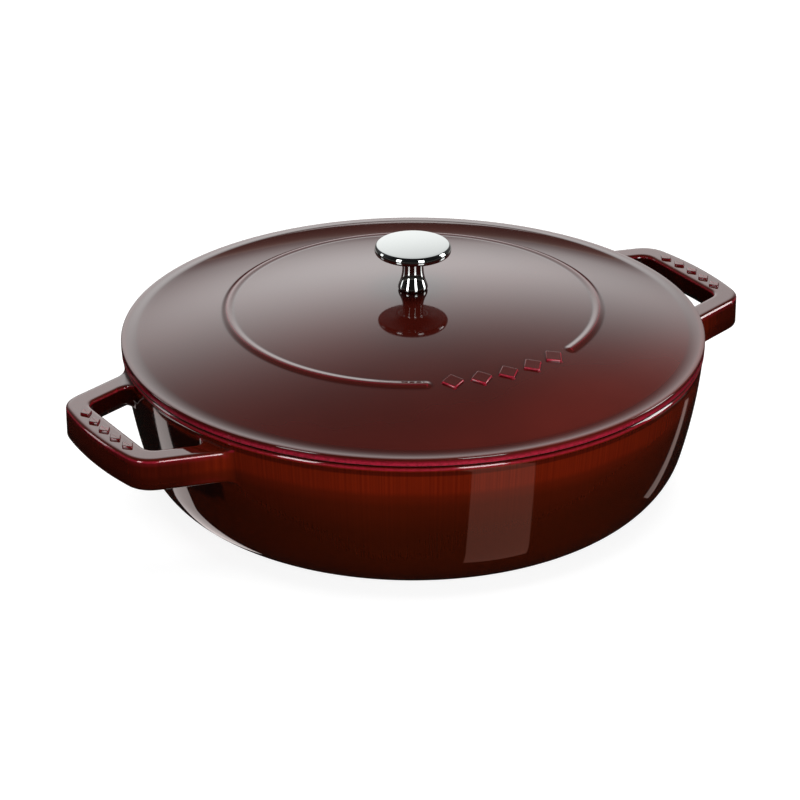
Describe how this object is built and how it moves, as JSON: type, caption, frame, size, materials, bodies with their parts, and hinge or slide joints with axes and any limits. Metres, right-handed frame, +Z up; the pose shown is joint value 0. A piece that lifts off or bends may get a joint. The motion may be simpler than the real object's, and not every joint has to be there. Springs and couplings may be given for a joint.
{
  "type": "dutch oven",
  "caption": "Low round enamelled cast iron pan with loop handles and a domed lift-off lid with a turned metal knob, for braising and serving.",
  "frame": {"origin": "middle of the flat base, on the surface that the pan stands on", "axes": "+Z up, +X along the two handles, -Y towards the open stretch of the ring on the lid"},
  "size_m": [0.3616, 0.29, 0.1273],
  "materials": {
    "pot_enamel": "glossy translucent dark red enamel outside, satin black enamel inside",
    "lid_enamel": "glossy translucent dark red enamel on top, satin black enamel underneath",
    "knob_metal": "polished nickel plate",
    "fastener_steel": "plain bright steel"
  },
  "bodies": {
    "pot": {"pot_body": "pot_enamel"},
    "lid": {"lid": "lid_enamel", "knob": "knob_metal", "knob_screw": "fastener_steel", "flat_washer": "fastener_steel", "lock_washer": "fastener_steel"}
  },
  "joints": [
    {"name": "lid_lift", "type": "slide", "parent": "pot", "child": "lid", "axis": [0, 0, 1], "range_m": [0, 0.2]}
  ]
}
